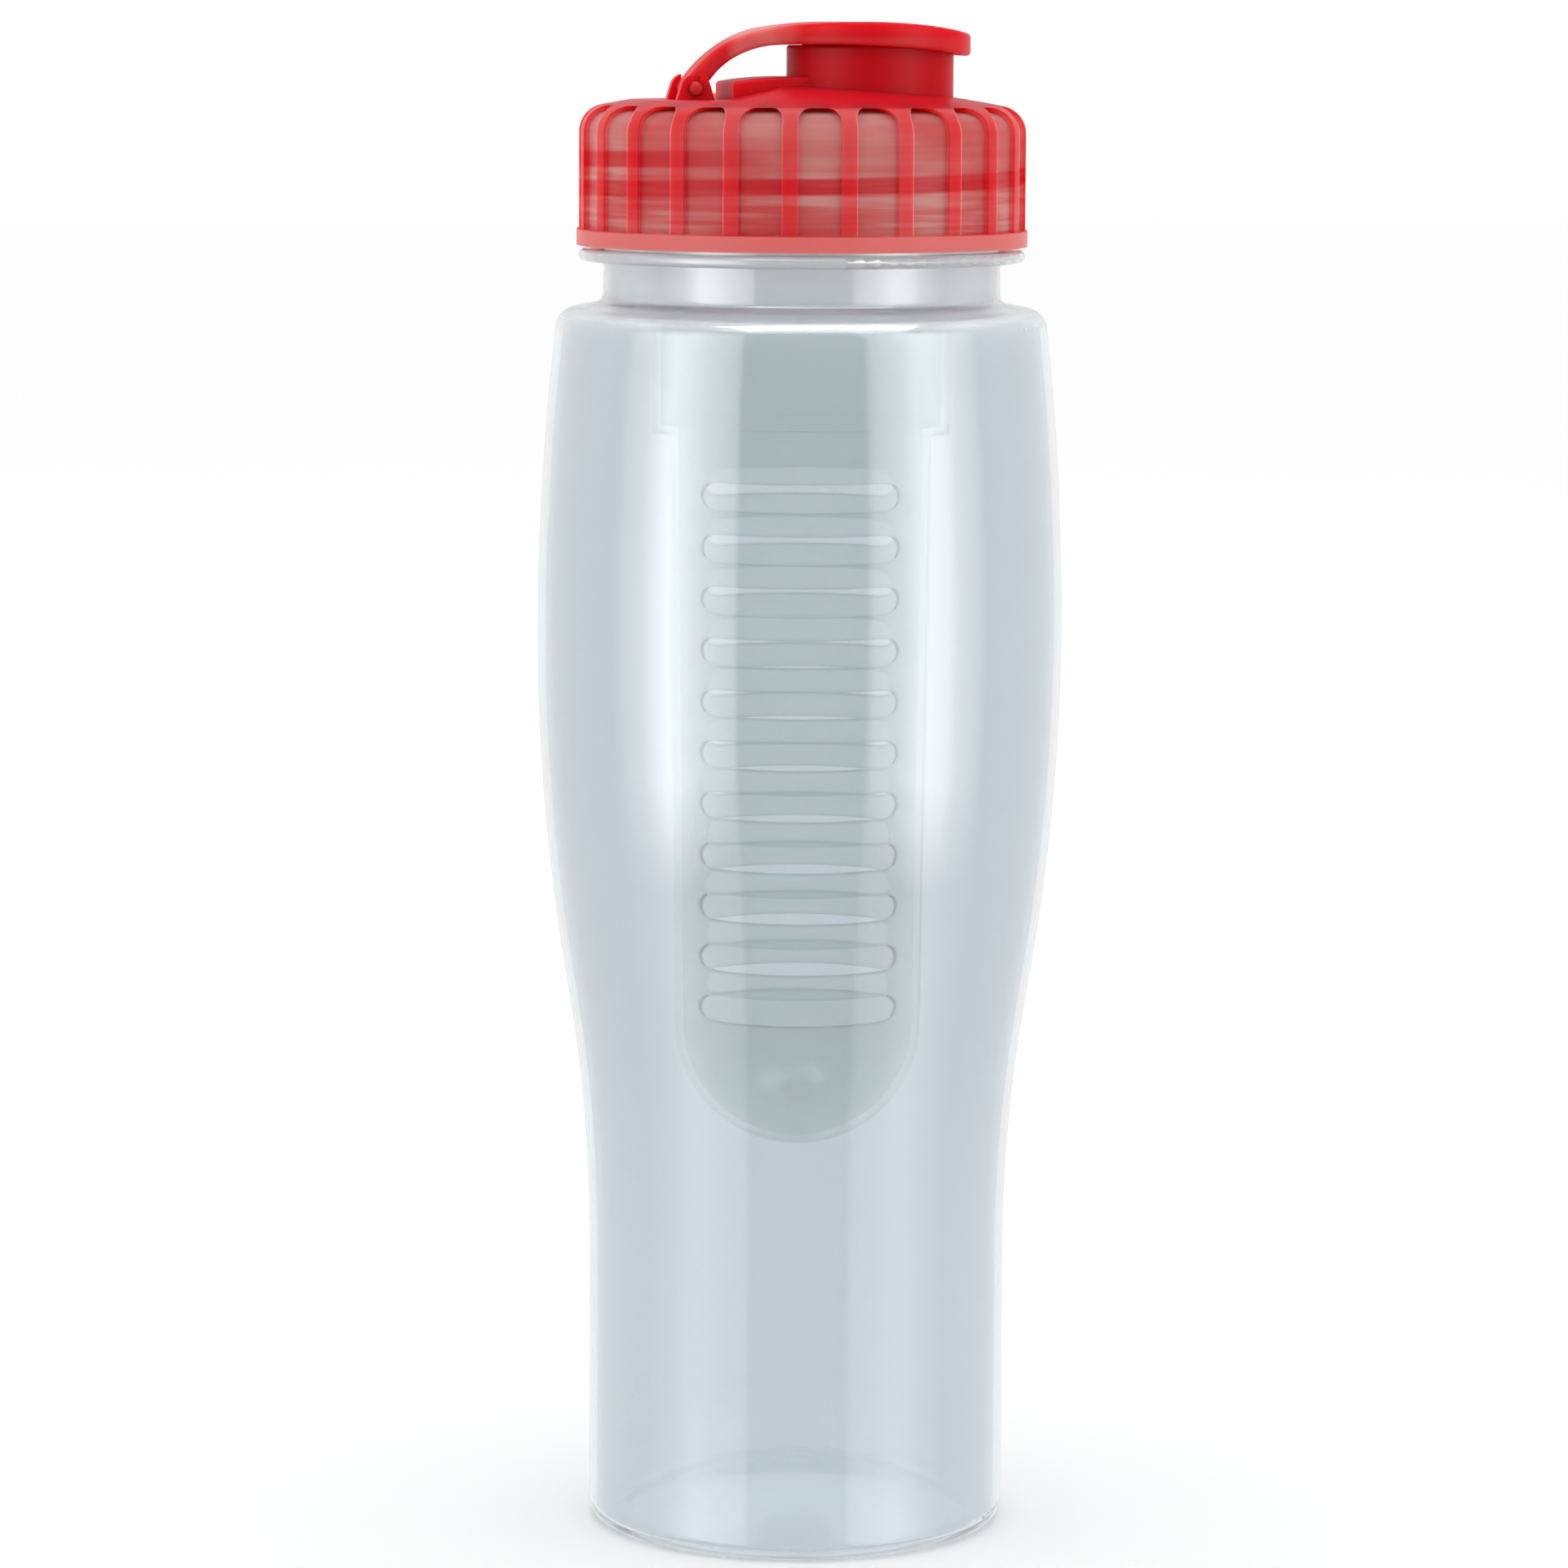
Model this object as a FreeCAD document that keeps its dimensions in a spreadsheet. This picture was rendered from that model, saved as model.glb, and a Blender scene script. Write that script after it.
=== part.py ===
"""A fruit infuser water bottle: clear bottle, hanging basket, gasket, screw cap and flip lid.

The bottle stands on its base ring at z = 0, +Z up, with its axis on the Z axis.
The drinking spout lies toward +X and the flip lid's hinge toward -X.
"""
import FreeCAD
import Part
import Sketcher
import math
import os
from types import SimpleNamespace

# Driving sizes: millimetres, angles in degrees, counts, and shares where the name says so.
SIZES = {
    # bottle, from the base up
    "base_radius": 32.6,
    "base_corner": 2.6,
    "foot_width": 3.0,
    "pushup_height": 8.0,
    "bottle_wall": 1.2,
    "grip_height": 44.2,
    "waist_share": 0.425,
    "barrel_radius": 40.8,
    "barrel_height": 140.0,
    "shoulder_radius": 38.05,
    "shoulder_height": 188.0,
    "shoulder_corner": 3.3,
    "neck_radius": 30.7,
    "neck_wall": 2.1,
    "neck_foot_height": 193.1,
    "neck_fillet": 1.6,
    "ring_height": 198.1,
    "ring_thickness": 1.9,
    "ring_reach": 3.8,
    "ring_round": 0.9,
    "rim_height": 217.5,
    "rim_round": 0.5,
    # infuser basket
    "basket_wall": 1.3,
    "basket_flange_radius": 30.4,
    "basket_flange_thickness": 1.4,
    "collar_radius": 24.8,
    "collar_length": 23.0,
    "skirt_radius": 23.1,
    "skirt_length": 22.8,
    "tube_top_radius": 20.3,
    "tube_foot_radius": 19.25,
    "tube_length": 92.7,
    "slot_count": 11,
    "slot_width": 29.6,
    "slot_height": 4.2,
    "slot_pitch": 7.95,
    "slot_start": 4.2,
    "basket_turn": -11.8,
    # gasket
    "gasket_radius": 30.0,
    "gasket_bore": 25.0,
    "gasket_thickness": 1.5,
    # screw cap
    "cap_gap": 0.5,
    "thread_room": 1.5,
    "cap_wall": 2.3,
    "cap_inner_round": 2.0,
    "cap_corner": 4.3,
    "crown_bow": 163.0,
    "crown_rise": 4.6,
    "roof_wall": 2.6,
    "cap_flange_reach": 0.35,
    "cap_flange_height": 2.5,
    "grip_count": 24,
    "rib_width": 2.4,
    "recess_depth": 0.85,
    "recess_lap": 0.4,
    "recess_rise": 1.6,
    "recess_arch": 2.1,
    # drinking spout
    "spout_offset": 10.6,
    "spout_radius": 12.9,
    "spout_wall": 2.0,
    "spout_rise": 6.2,
    "spout_round": 0.5,
    # hinge
    "pivot_offset": 17.7,
    "pivot_rise": 4.1,
    "floor_rise": 2.4,
    "seat_offset": 13.5,
    "ramp_offset": 4.0,
    "ear_gap": 6.5,
    "ear_thickness": 1.8,
    "ear_radius": 2.3,
    "ear_foot": 3.1,
    "ear_slot": 1.5,
    "pin_radius": 1.1,
    "pin_gap": 0.06,
    "pin_stub": 0.7,
    "pin_round": 0.9,
    "bed_offset": 12.3,
    "bed_width": 14.0,
    "bed_rise": 1.4,
    "bed_level_offset": 3.0,
    "bed_bow": 54.0,
    "bed_round": 0.6,
    # flip lid
    "knuckle_radius": 1.6,
    "knuckle_gap": 0.3,
    "strap_gap": 0.2,
    "strap_width": 12.0,
    "strap_shoulder": 3.0,
    "strap_bend": 6.0,
    "strap_flare": 8.0,
    "strap_bow": 19.2,
    "strap_hollow": 13.0,
    "lid_gap": 0.15,
    "lid_radius": 15.5,
    "lid_thickness": 3.45,
    "lid_bow": 95.0,
    "lid_crest_offset": 7.0,
    "lid_round": 0.6,
    "underside_bow": 170.0,
    "underside_offset": 1.5,
    "rim_wall": 1.3,
    "rim_drop": 1.4,
    "channel_offset": 2.5,
    "plug_gap": 0.3,
    "plug_taper": 1.0,
    "plug_wall": 1.6,
    "plug_depth": 4.2,
    # how far a cut runs past what it cuts
    "overrun": 1.0,
}

START, END, CENTRE = 1, 2, 3
LEVEL_AXIS, UPRIGHT_AXIS = -1, -2


class Size:
    """A value with its number now and its formula in the sheet's names."""

    def __init__(self, number, formula):
        self.number = number
        self.formula = formula

    def __add__(self, other):
        other = as_size(other)
        return Size(self.number + other.number, f"({self.formula} + {other.formula})")

    def __sub__(self, other):
        other = as_size(other)
        return Size(self.number - other.number, f"({self.formula} - {other.formula})")

    def __mul__(self, other):
        other = as_size(other)
        return Size(self.number * other.number, f"({self.formula} * {other.formula})")

    def __truediv__(self, other):
        other = as_size(other)
        return Size(self.number / other.number, f"({self.formula} / {other.formula})")

    def __neg__(self):
        return Size(-self.number, f"(-{self.formula})")


def as_size(value):
    """Give a plain count or factor the form of a size."""
    return value if isinstance(value, Size) else Size(value, str(value))


def number_of(value):
    """The number now of a size, or the plain number itself."""
    return value.number if isinstance(value, Size) else value


doc = FreeCAD.newDocument("infuser_bottle")
sheet = doc.addObject("Spreadsheet::Sheet", "Sizes")
for row, (alias, value) in enumerate(SIZES.items(), start=1):
    sheet.set(f"A{row}", alias)
    sheet.set(f"B{row}", str(value))
    sheet.setAlias(f"B{row}", alias)
doc.recompute()

s = SimpleNamespace(**{alias: Size(sheet.get(alias), f"Sizes.{alias}") for alias in SIZES})
ZERO = Size(0.0, "0")


class Outline:
    """A closed run of lines and arcs in one sketch.

    A coordinate or radius given as a Size is bound to the sheet. One given as a plain number is
    only where the drawing starts, and the constraints settle it. A smooth joint is tangent.
    """

    def __init__(self, body, name, plane, start):
        self.sketch = new_sketch(body, name, plane)
        self.corner = start
        self.pieces = []
        self.first_corner = start

    def line_to(self, across, up, smooth=False):
        """Draw a straight line to a point."""
        line = Part.LineSegment(vector_of(self.corner), vector_of((across, up)))
        return self.add(line, (across, up), smooth)

    def arc_to(self, across, up, centre, radius=None, smooth=False, long_way=False):
        """Draw an arc to a point about a centre, by the short way round or the long one."""
        middle = vector_of(centre)
        first = vector_of(self.corner) - middle
        last = vector_of((across, up)) - middle
        reach = (first + last).normalize() * (first.Length * (-1 if long_way else 1))
        arc = Part.Arc(vector_of(self.corner), middle + reach, vector_of((across, up)))
        piece = self.add(arc, (across, up), smooth)
        self.hold(piece[0], CENTRE, centre)
        if radius is not None:
            bind(self.sketch, Sketcher.Constraint("Radius", piece[0], radius.number), radius)
        return piece

    def add(self, geometry, corner, smooth):
        """Add one piece, join it to the last one and hold its end where sizes say."""
        index = self.sketch.addGeometry(geometry, False)
        begins = self.sketch.getPoint(index, START)
        here = vector_of(self.corner)
        there = vector_of(corner)
        forward = begins.distanceToPoint(here) < begins.distanceToPoint(there)
        piece = (index, START, END) if forward else (index, END, START)
        if self.pieces:
            self.join(self.pieces[-1], piece, smooth)
        else:
            self.hold(index, piece[1], corner=self.corner)
        if not self.is_first(corner):
            self.hold(index, piece[2], corner)
        self.pieces.append(piece)
        self.corner = corner
        return piece

    def is_first(self, corner):
        """True for the corner where the outline began."""
        return all(value is begun for value, begun in zip(corner, self.first_corner))

    def join(self, before, after, smooth):
        kind = "Tangent" if smooth else "Coincident"
        self.sketch.addConstraint(Sketcher.Constraint(kind, before[0], before[2], after[0], after[1]))

    def hold(self, index, point, corner):
        """Bind the coordinates of a point that are sizes."""
        for value, kind, axis in zip(corner, ("DistanceX", "DistanceY"), (UPRIGHT_AXIS, LEVEL_AXIS)):
            if value is ZERO:
                self.sketch.addConstraint(Sketcher.Constraint("PointOnObject", index, point, axis))
            elif isinstance(value, Size):
                bind(self.sketch, Sketcher.Constraint(kind, index, point, value.number), value)

    def close(self):
        """Run a last line back to the first corner if need be, and return the finished sketch."""
        if not self.is_first(self.corner):
            self.line_to(*self.first_corner)
        self.join(self.pieces[-1], self.pieces[0], smooth=False)
        return self.sketch


def vector_of(corner):
    return FreeCAD.Vector(number_of(corner[0]), number_of(corner[1]), 0)


def bind(sketch, constraint, size):
    """Add a constraint and tie its value to the sheet."""
    index = sketch.addConstraint(constraint)
    sketch.setExpression(f"Constraints[{index}]", size.formula)


def origin_feature(body, role):
    return next(feature for feature in body.Origin.OriginFeatures if feature.Role == role)


def new_sketch(body, name, plane):
    sketch = body.newObject("Sketcher::SketchObject", name)
    sketch.AttachmentSupport = [(origin_feature(body, plane), "")]
    sketch.MapMode = "FlatFace"
    return sketch


def circle_sketch(body, name, plane, centre, radius):
    """A sketch of one circle."""
    sketch = new_sketch(body, name, plane)
    circle = Part.Circle(vector_of(centre), FreeCAD.Vector(0, 0, 1), radius.number)
    index = sketch.addGeometry(circle, False)
    bind(sketch, Sketcher.Constraint("Radius", index, radius.number), radius)
    for value, kind, axis in zip(centre, ("DistanceX", "DistanceY"), (UPRIGHT_AXIS, LEVEL_AXIS)):
        if value is ZERO:
            sketch.addConstraint(Sketcher.Constraint("PointOnObject", index, CENTRE, axis))
        else:
            bind(sketch, Sketcher.Constraint(kind, index, CENTRE, value.number), value)
    return sketch


def box_sketch(body, name, plane, low, high):
    """A sketch of one upright rectangle between two corners."""
    outline = Outline(body, name, plane, low)
    outline.line_to(high[0], low[1])
    outline.line_to(*high)
    outline.line_to(low[0], high[1])
    return outline.close()


def lift(sketch, height):
    """Move a sketch along its plane's normal."""
    sketch.setExpression("AttachmentOffset.Base.z", height.formula)
    return sketch


def feature_of(body, kind, name, sketch):
    feature = body.newObject(f"PartDesign::{kind}", name)
    feature.Profile = sketch
    return feature


def turn(body, kind, name, sketch, axis="V_Axis"):
    """Revolve a sketch, adding or cutting as the kind says."""
    feature = feature_of(body, kind, name, sketch)
    feature.ReferenceAxis = (sketch, [axis])
    feature.Angle = 360
    return recomputed(feature)


def extrude(body, kind, name, sketch, length=None, symmetric=False, reverse=False):
    """Pad or pocket a sketch by a length, or through everything when none is given."""
    feature = feature_of(body, kind, name, sketch)
    feature.SideType = "Symmetric" if symmetric else "One side"
    feature.Reversed = reverse
    if length is None:
        feature.Type = "ThroughAll"
    else:
        feature.setExpression("Length", length.formula)
    return recomputed(feature)


def recomputed(feature):
    doc.recompute()
    return feature


def round_edges(body, name, base, radius, chosen):
    """Fillet the edges of the last feature that the test chooses."""
    names = [f"Edge{i}" for i, edge in enumerate(base.Shape.Edges, start=1) if chosen(edge)]
    feature = body.newObject("PartDesign::Fillet", name)
    feature.Base = (base, names)
    feature.setExpression("Radius", radius.formula)
    return recomputed(feature)


def is_circle(edge, radius, height=None):
    """True for a level circular edge of this radius, at this height when one is given."""
    if edge.Degenerated or edge.Curve.TypeId != "Part::GeomCircle":
        return False
    near = math.isclose(edge.Curve.Radius, radius.number, rel_tol=1e-6)
    if height is None:
        return near
    return near and math.isclose(edge.Curve.Center.z, height.number, rel_tol=1e-6)


def new_body(name):
    body = doc.addObject("PartDesign::Body", name)
    body.Label = name
    return body


# Places that several pieces share
neck_bore = s.neck_radius - s.neck_wall
ring_top = s.ring_height + s.ring_thickness
flange_top = s.rim_height + s.basket_flange_thickness
gasket_seat = flange_top + s.gasket_thickness
cap_bottom = ring_top + s.cap_gap
cap_bore = s.neck_radius + s.thread_room
cap_crest = cap_bore + s.cap_wall
crown_top = gasket_seat + s.crown_rise
hinge_floor = gasket_seat + s.floor_rise
spout_bore = s.spout_radius - s.spout_wall
spout_top = crown_top + s.spout_rise
pivot = (-s.pivot_offset, gasket_seat + s.pivot_rise)
ear_span = s.ear_gap + s.ear_thickness * 2


def draw_barrel(outline, inset):
    """Run from the base corner up the grip, waist, barrel and shoulder corner, moved in by the wall.

    The waist is two arcs that meet on the line between the grip's top and the widest point.
    """
    grip = s.base_radius - inset
    widest = s.barrel_radius - inset
    shoulder = s.shoulder_radius - inset
    rise = s.barrel_height - s.grip_height
    swell = s.barrel_radius - s.base_radius
    turning = (grip + swell * s.waist_share, s.grip_height + rise * s.waist_share)
    chord = rise.number ** 2 + swell.number ** 2
    bows = chord / (2 * swell.number)
    hollow_bow = bows * s.waist_share.number
    swell_bow = bows - hollow_bow
    outline.line_to(grip, s.grip_height)
    outline.arc_to(*turning, centre=(grip.number + hollow_bow, s.grip_height))
    outline.arc_to(widest, s.barrel_height, centre=(widest.number - swell_bow, s.barrel_height))
    drop = s.barrel_radius.number - s.shoulder_radius.number
    climb = s.shoulder_height.number - s.barrel_height.number
    upper_bow = (drop ** 2 + climb ** 2) / (2 * drop)
    outline.arc_to(shoulder, s.shoulder_height, centre=(widest.number - upper_bow, s.barrel_height))
    corner = s.shoulder_corner - inset
    lean = math.asin(climb / upper_bow)
    fall = math.atan2(s.neck_foot_height.number - s.shoulder_height.number - corner.number,
                      shoulder.number - s.neck_radius.number)
    middle = (shoulder.number - corner.number * math.cos(lean),
              s.shoulder_height.number - corner.number * math.sin(lean))
    edge = (middle[0] + corner.number * math.sin(fall), middle[1] + corner.number * math.cos(fall))
    outline.arc_to(*edge, centre=middle, radius=corner, smooth=True)
    return fall


def make_bottle():
    """The blow-moulded bottle: a turned outside, a turned cavity and the neck's support ring."""
    body = new_body("bottle_body")
    foot_inner = s.base_radius - s.base_corner - s.foot_width

    outside = Outline(body, "outside_outline", "XZ_Plane", (ZERO, s.pushup_height))
    dome = (foot_inner.number ** 2 + s.pushup_height.number ** 2) / (2 * s.pushup_height.number)
    outside.arc_to(foot_inner, ZERO, centre=(ZERO, s.pushup_height.number - dome))
    outside.line_to(s.base_radius - s.base_corner, ZERO)
    corner_middle = (s.base_radius.number - s.base_corner.number, s.base_corner.number)
    outside.arc_to(s.base_radius, s.base_corner, centre=corner_middle, radius=s.base_corner)
    fall = draw_barrel(outside, ZERO)
    neck_middle = (s.neck_radius.number + s.neck_fillet.number, s.neck_foot_height.number)
    neck_start = (neck_middle[0] - s.neck_fillet.number * math.sin(fall),
                  neck_middle[1] - s.neck_fillet.number * math.cos(fall))
    outside.line_to(*neck_start, smooth=True)
    outside.arc_to(s.neck_radius, s.neck_foot_height, centre=(neck_middle[0], s.neck_foot_height),
                   radius=s.neck_fillet, smooth=True)
    outside.line_to(s.neck_radius, s.rim_height)
    outside.line_to(ZERO, s.rim_height)
    turn(body, "Revolution", "outside", outside.close())

    inside = Outline(body, "inside_outline", "XZ_Plane", (ZERO, s.pushup_height + s.bottle_wall))
    inside.arc_to(foot_inner, s.bottle_wall,
                  centre=(ZERO, s.pushup_height.number + s.bottle_wall.number - dome))
    inside.line_to(s.base_radius - s.base_corner, s.bottle_wall)
    inside.arc_to(s.base_radius - s.bottle_wall, s.base_corner, centre=corner_middle,
                  radius=s.base_corner - s.bottle_wall)
    draw_barrel(inside, s.bottle_wall)
    inside.line_to(neck_bore, s.neck_foot_height - s.bottle_wall, smooth=True)
    inside.line_to(neck_bore, s.rim_height + s.overrun)
    inside.line_to(ZERO, s.rim_height + s.overrun)
    turn(body, "Groove", "inside", inside.close())

    ring = box_sketch(body, "ring_outline", "XZ_Plane", (s.neck_radius - s.neck_wall / 2, s.ring_height),
                      (s.neck_radius + s.ring_reach, ring_top))
    ring_feature = turn(body, "Revolution", "support_ring", ring)
    ring_edge = s.neck_radius + s.ring_reach
    rounded = round_edges(body, "ring_round", ring_feature, s.ring_round,
                          lambda edge: is_circle(edge, ring_edge))
    round_edges(body, "rim_round", rounded, s.rim_round,
                lambda edge: is_circle(edge, s.neck_radius, s.rim_height)
                or is_circle(edge, neck_bore, s.rim_height))
    return body


def make_basket():
    """The hanging basket: a turned cup on a flange, with rows of slots cut front and back."""
    body = new_body("infuser_basket")
    collar_foot = s.rim_height - s.collar_length
    ledge = collar_foot - s.skirt_length
    tube_foot = ledge - s.tube_length
    wall = s.basket_wall

    shell = Outline(body, "shell_outline", "XZ_Plane", (s.basket_flange_radius, flange_top))
    shell.line_to(s.basket_flange_radius, s.rim_height)
    shell.line_to(s.collar_radius, s.rim_height)
    shell.line_to(s.collar_radius, collar_foot)
    shell.line_to(s.skirt_radius, collar_foot)
    shell.line_to(s.skirt_radius, ledge)
    shell.line_to(s.tube_top_radius, ledge)
    shell.line_to(s.tube_foot_radius, tube_foot)
    shell.arc_to(ZERO, tube_foot - s.tube_foot_radius, centre=(ZERO, tube_foot.number))
    shell.line_to(ZERO, tube_foot - s.tube_foot_radius + wall)
    shell.arc_to(s.tube_foot_radius - wall, tube_foot, centre=(ZERO, tube_foot.number))
    shell.line_to(s.tube_top_radius - wall, ledge + wall)
    shell.line_to(s.skirt_radius - wall, ledge + wall)
    shell.line_to(s.skirt_radius - wall, collar_foot + wall)
    shell.line_to(s.collar_radius - wall, collar_foot + wall)
    shell.line_to(s.collar_radius - wall, flange_top)
    turn(body, "Revolution", "shell", shell.close())

    middle = tube_foot + s.slot_start
    half = s.slot_height / 2
    end = s.slot_width / 2 - half
    slot = Outline(body, "slot_outline", "XZ_Plane", (-end, middle - half))
    slot.line_to(end, middle - half)
    slot.arc_to(end + half, middle, centre=(end.number, middle.number), radius=half)
    slot.arc_to(end, middle + half, centre=(end.number, middle.number), radius=half)
    slot.line_to(-end, middle + half)
    slot.arc_to(-end - half, middle, centre=(-end.number, middle.number), radius=half)
    slot.arc_to(*slot.first_corner, centre=(-end.number, middle.number), radius=half)
    first_slot = extrude(body, "Pocket", "first_slot", slot.close(), symmetric=True)

    rows = body.newObject("PartDesign::LinearPattern", "slot_rows")
    rows.Originals = [first_slot]
    rows.Direction = (origin_feature(body, "Z_Axis"), [""])
    rows.setExpression("Length", (s.slot_pitch * (s.slot_count - 1)).formula)
    rows.setExpression("Occurrences", s.slot_count.formula)
    body.Tip = rows
    body.Placement = FreeCAD.Placement(FreeCAD.Vector(), FreeCAD.Rotation(FreeCAD.Vector(0, 0, 1), 1))
    body.setExpression("Placement.Rotation.Angle", s.basket_turn.formula)
    doc.recompute()
    return body


def make_gasket():
    """The flat sealing ring that the cap presses on the basket's flange."""
    body = new_body("neck_gasket")
    section = box_sketch(body, "ring_section", "XZ_Plane", (s.gasket_bore, flange_top),
                         (s.gasket_radius, gasket_seat))
    turn(body, "Revolution", "ring", section)
    return body


def crown_corner(inset):
    """Where a bell line leaves the skirt and where it joins the crown, and the corner's middle."""
    corner = s.cap_corner.number - inset.number
    bow = s.crown_bow.number - inset.number
    crown_middle = crown_top.number - s.crown_bow.number
    across = cap_crest.number - s.cap_corner.number
    up = crown_middle + math.sqrt((bow - corner) ** 2 - across ** 2)
    reach = bow / (bow - corner)
    joint = (across * reach, crown_middle + (up - crown_middle) * reach)
    return (across, up), joint, crown_middle


def draw_bell_up(outline, inset):
    """Run up the skirt and over the corner to the top of the crown, moved in by an inset."""
    middle, joint, crown_middle = crown_corner(inset)
    outline.line_to(cap_crest - inset, middle[1])
    outline.arc_to(*joint, centre=middle, radius=s.cap_corner - inset, smooth=True)
    outline.arc_to(ZERO, crown_top - inset, centre=(ZERO, crown_middle), radius=s.crown_bow - inset,
                   smooth=True)


def draw_bell_down(outline, inset, foot):
    """Run from the top of the crown over the corner and down the skirt to a height."""
    middle, joint, crown_middle = crown_corner(inset)
    outline.arc_to(*joint, centre=(ZERO, crown_middle), radius=s.crown_bow - inset)
    outline.arc_to(cap_crest - inset, middle[1], centre=middle, radius=s.cap_corner - inset, smooth=True)
    outline.line_to(cap_crest - inset, foot, smooth=True)


def make_cap():
    """The screw cap: a ribbed skirt with arched recesses, a crown, a spout and a snap hinge."""
    body = new_body("screw_cap")
    add_grip(body)
    add_core(body)
    add_hinge_bed(body)
    add_ears(body)
    add_spout(body)
    return body


def add_grip(body):
    """An outer bell with arched windows all round, which the core behind turns into recesses."""
    skin = s.recess_depth + s.recess_lap
    bell = Outline(body, "grip_outline", "XZ_Plane", (cap_crest, cap_bottom))
    draw_bell_up(bell, ZERO)
    bell.line_to(ZERO, crown_top - skin)
    draw_bell_down(bell, skin, cap_bottom)
    turn(body, "Revolution", "grip", bell.close())

    half = cap_crest * math.pi / s.grip_count - s.rib_width / 2
    foot = cap_bottom + s.cap_flange_height
    top = gasket_seat + s.recess_rise
    arch = s.recess_arch
    window = Outline(body, "window_outline", "XZ_Plane", (-half, foot))
    window.line_to(half, foot)
    window.line_to(half, top - arch)
    window.arc_to(half - arch, top, centre=((half - arch).number, (top - arch).number), radius=arch)
    window.line_to(arch - half, top)
    window.arc_to(-half, top - arch, centre=((arch - half).number, (top - arch).number), radius=arch)
    sketch = window.close()
    half_pitch = FreeCAD.Rotation(FreeCAD.Vector(0, 1, 0), 180 / s.grip_count.number)
    sketch.AttachmentOffset = FreeCAD.Placement(FreeCAD.Vector(), half_pitch)
    first = extrude(body, "Pocket", "first_window", sketch, reverse=True)

    windows = body.newObject("PartDesign::PolarPattern", "windows")
    windows.Originals = [first]
    windows.Axis = (origin_feature(body, "Z_Axis"), [""])
    windows.Angle = 360
    windows.setExpression("Occurrences", s.grip_count.formula)
    body.Tip = windows
    doc.recompute()


def add_core(body):
    """The bell behind the windows, with the flange, the thread bore, the gasket seat and the roof."""
    inner = s.cap_inner_round
    core = Outline(body, "core_outline", "XZ_Plane", (cap_bore, cap_bottom))
    core.line_to(cap_bore, gasket_seat - inner)
    core.arc_to(cap_bore - inner, gasket_seat, radius=inner,
                centre=((cap_bore - inner).number, (gasket_seat - inner).number))
    core.line_to(s.gasket_bore, gasket_seat)
    roof = (crown_top - s.roof_wall).number
    sag = roof - gasket_seat.number
    roof_bow = (sag ** 2 + s.gasket_bore.number ** 2) / (2 * sag)
    core.arc_to(ZERO, crown_top - s.roof_wall, centre=(ZERO, roof - roof_bow))
    core.line_to(ZERO, crown_top - s.recess_depth)
    flange_height = cap_bottom + s.cap_flange_height
    draw_bell_down(core, s.recess_depth, flange_height)
    core.line_to(cap_crest + s.cap_flange_reach, flange_height)
    core.line_to(cap_crest + s.cap_flange_reach, cap_bottom)
    turn(body, "Revolution", "core", core.close())


def add_hinge_bed(body):
    """A level seat and a ramp cut across the crown, and the raised bed from there to the spout."""
    clear = crown_top + s.overrun
    seat = Outline(body, "seat_outline", "XZ_Plane", (-cap_crest, hinge_floor))
    seat.line_to(-s.seat_offset, hinge_floor)
    seat.line_to(-s.ramp_offset, crown_top)
    seat.line_to(-s.ramp_offset, clear)
    seat.line_to(-cap_crest, clear)
    extrude(body, "Pocket", "hinge_seat", seat.close(), symmetric=True)

    bed_top = crown_top + s.bed_rise
    run = s.bed_offset.number - s.bed_level_offset.number
    bed_end = bed_top.number - s.bed_bow.number + math.sqrt(s.bed_bow.number ** 2 - run ** 2)
    bed = Outline(body, "bed_outline", "XZ_Plane", (-s.bed_offset, hinge_floor))
    bed.line_to(s.spout_offset, hinge_floor)
    bed.line_to(s.spout_offset, bed_top)
    bed.line_to(-s.bed_level_offset, bed_top)
    bed.arc_to(-s.bed_offset, bed_end, centre=(-s.bed_level_offset, bed_top - s.bed_bow))
    raised = extrude(body, "Pad", "bed", bed.close(), length=s.bed_width, symmetric=True)

    def on_top(edge):
        middle = edge.CenterOfMass
        on_side = math.isclose(abs(middle.y), s.bed_width.number / 2, rel_tol=1e-6)
        on_end = math.isclose(middle.x, -s.bed_offset.number, rel_tol=1e-6)
        inside = middle.x < s.spout_offset.number - s.bed_round.number
        return inside and middle.z > crown_top.number and (on_side or on_end)

    round_edges(body, "bed_round", raised, s.bed_round, on_top)


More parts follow.
